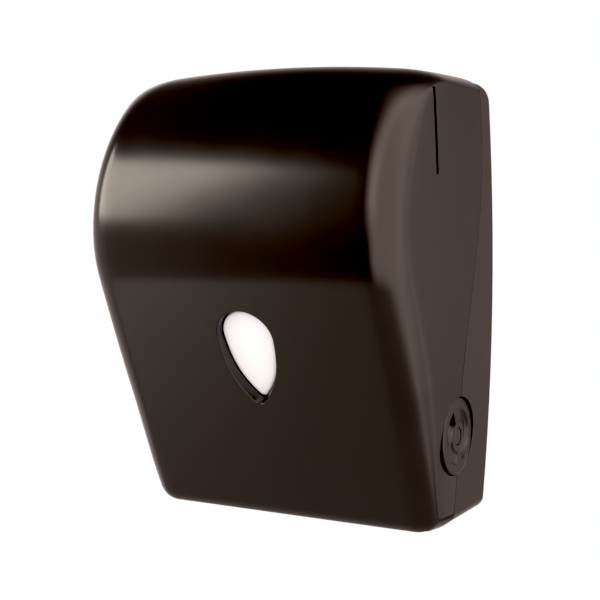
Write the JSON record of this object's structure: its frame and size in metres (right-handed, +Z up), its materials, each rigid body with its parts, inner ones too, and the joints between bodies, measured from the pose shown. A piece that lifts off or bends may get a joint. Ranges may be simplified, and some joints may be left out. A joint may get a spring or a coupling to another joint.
{
  "type": "autocut towel dispenser",
  "caption": "Wall-mounted autocut paper towel dispenser: a curved hinged cover over a rear shell, with a cutting drum, hand knob, pinch roller, sprung crank and roll arms inside.",
  "frame": {"origin": "centre of the four wall screws, on the wall face", "axes": "+X to the right as one faces the dispenser, -Y out of the wall towards the user, +Z up"},
  "size_m": [0.3, 0.2018, 0.3906],
  "materials": {
    "cover_plastic": "brown-black satin moulding",
    "shell_plastic": "brown-black satin moulding, a little lighter",
    "knob_plastic": "brown-black satin moulding",
    "badge_plastic": "plain white gloss",
    "frame_plastic": "mid grey moulding",
    "drum_plastic": "light grey moulding",
    "bearing_plastic": "natural white moulding",
    "steel": "drawn or punched bright steel",
    "lock_metal": "plated die casting",
    "spring_steel": "drawn spring wire",
    "grip_rubber": "matt black rubber"
  },
  "bodies": {
    "chassis": {"rear_shell": "shell_plastic", "left_frame": "frame_plastic", "right_frame": "frame_plastic", "frame_screws": "steel", "drum_bush": "bearing_plastic", "one_way_bearing": "steel", "cam_plate": "frame_plastic", "spring_post": "steel", "paper_chute": "frame_plastic", "exit_guide": "frame_plastic", "hinge_base_left": "frame_plastic", "hinge_base_right": "frame_plastic", "hinge_pin_left": "steel", "hinge_pin_right": "steel", "lock_strike": "steel", "arm_base_left": "frame_plastic", "arm_base_right": "frame_plastic", "arm_pin_left": "steel", "arm_pin_right": "steel", "drive_spring": "spring_steel", "pinch_spring_left": "spring_steel", "pinch_spring_right": "spring_steel", "arm_spring_left": "spring_steel", "arm_spring_right": "spring_steel"},
    "cover": {"front_cover": "cover_plastic", "cover_lug_left": "frame_plastic", "cover_lug_right": "frame_plastic", "badge_bezel": "cover_plastic", "badge": "badge_plastic", "lock_housing": "lock_metal"},
    "lock": {"lock_barrel": "lock_metal", "lock_tongue": "lock_metal"},
    "drum": {"drum_shaft": "steel", "drum_slot_half": "drum_plastic", "drum_plain_half": "drum_plastic", "drum_cap_left": "frame_plastic", "drum_cap_right": "frame_plastic", "grip_bands": "grip_rubber", "crank_disc": "frame_plastic", "crank_pin": "steel", "hand_knob": "knob_plastic", "knob_cap": "knob_plastic", "knife_spring": "spring_steel"},
    "knife": {"knife_rod": "steel", "knife_bar": "frame_plastic", "knife_blade": "steel", "cam_arm": "steel"},
    "cam_roller": {"cam_roller": "bearing_plastic"},
    "pinch": {"pinch_bail": "frame_plastic"},
    "pinch_roller": {"pinch_shaft": "steel", "pinch_sleeves": "grip_rubber"},
    "arm_left": {"roll_arm_left": "bearing_plastic", "hub_cap_left": "frame_plastic"},
    "arm_right": {"roll_arm_right": "bearing_plastic", "hub_cap_right": "frame_plastic"},
    "hub_left": {"roll_hub_left": "bearing_plastic"},
    "hub_right": {"roll_hub_right": "bearing_plastic"}
  },
  "joints": [
    {"name": "cover_hinge", "type": "hinge", "parent": "chassis", "child": "cover", "pos_m": [0, -0.079, -0.176], "axis": [1, 0, 0], "range_deg": [0, 85]},
    {"name": "lock_turn", "type": "hinge", "parent": "cover", "child": "lock", "pos_m": [0, -0.052, 0.18], "axis": [0, 0, 1], "range_deg": [0, 90]},
    {"name": "drum_spin", "type": "hinge", "parent": "chassis", "child": "drum", "pos_m": [0, -0.0685, -0.1094], "axis": [1, 0, 0], "continuous": true, "deforming": ["drive_spring"]},
    {"name": "knife_swing", "type": "hinge", "parent": "drum", "child": "knife", "pos_m": [0, -0.05962, -0.13179], "axis": [-1, 0, 0], "range_deg": [0, 28], "stiffness_Nm_per_rad": 0.15, "springref_deg": -17.19, "deforming": ["knife_spring"]},
    {"name": "cam_roller_spin", "type": "hinge", "parent": "knife", "child": "cam_roller", "pos_m": [-0.113, -0.07961, -0.13409], "axis": [1, 0, 0], "continuous": true},
    {"name": "pinch_swing", "type": "hinge", "parent": "chassis", "child": "pinch", "pos_m": [0, -0.062, -0.052], "axis": [-1, 0, 0], "range_deg": [0, 10], "stiffness_Nm_per_rad": 0.6, "springref_deg": -17.19, "deforming": ["pinch_spring_left", "pinch_spring_right"]},
    {"name": "pinch_spin", "type": "hinge", "parent": "pinch", "child": "pinch_roller", "pos_m": [0, -0.09704, -0.07539], "axis": [1, 0, 0], "continuous": true},
    {"name": "arm_right_swing", "type": "hinge", "parent": "chassis", "child": "arm_right", "pos_m": [0.107, -0.014, 0.09], "axis": [0, 0, 1], "range_deg": [0, 10], "stiffness_Nm_per_rad": 0.6, "springref_deg": -17.19, "deforming": ["arm_spring_right"]},
    {"name": "arm_left_swing", "type": "hinge", "parent": "chassis", "child": "arm_left", "pos_m": [-0.107, -0.014, 0.09], "axis": [0, 0, -1], "range_deg": [0, 10], "stiffness_Nm_per_rad": 0.6, "springref_deg": -17.19, "deforming": ["arm_spring_left"]},
    {"name": "hub_right_spin", "type": "hinge", "parent": "arm_right", "child": "hub_right", "pos_m": [0.1, -0.101, 0.09], "axis": [1, 0, 0], "continuous": true},
    {"name": "hub_left_spin", "type": "hinge", "parent": "arm_left", "child": "hub_left", "pos_m": [-0.1, -0.101, 0.09], "axis": [1, 0, 0], "continuous": true}
  ],
  "couplings": [
    {"joint": "pinch_spin", "follows": "drum_spin", "ratio": -4.5}
  ]
}
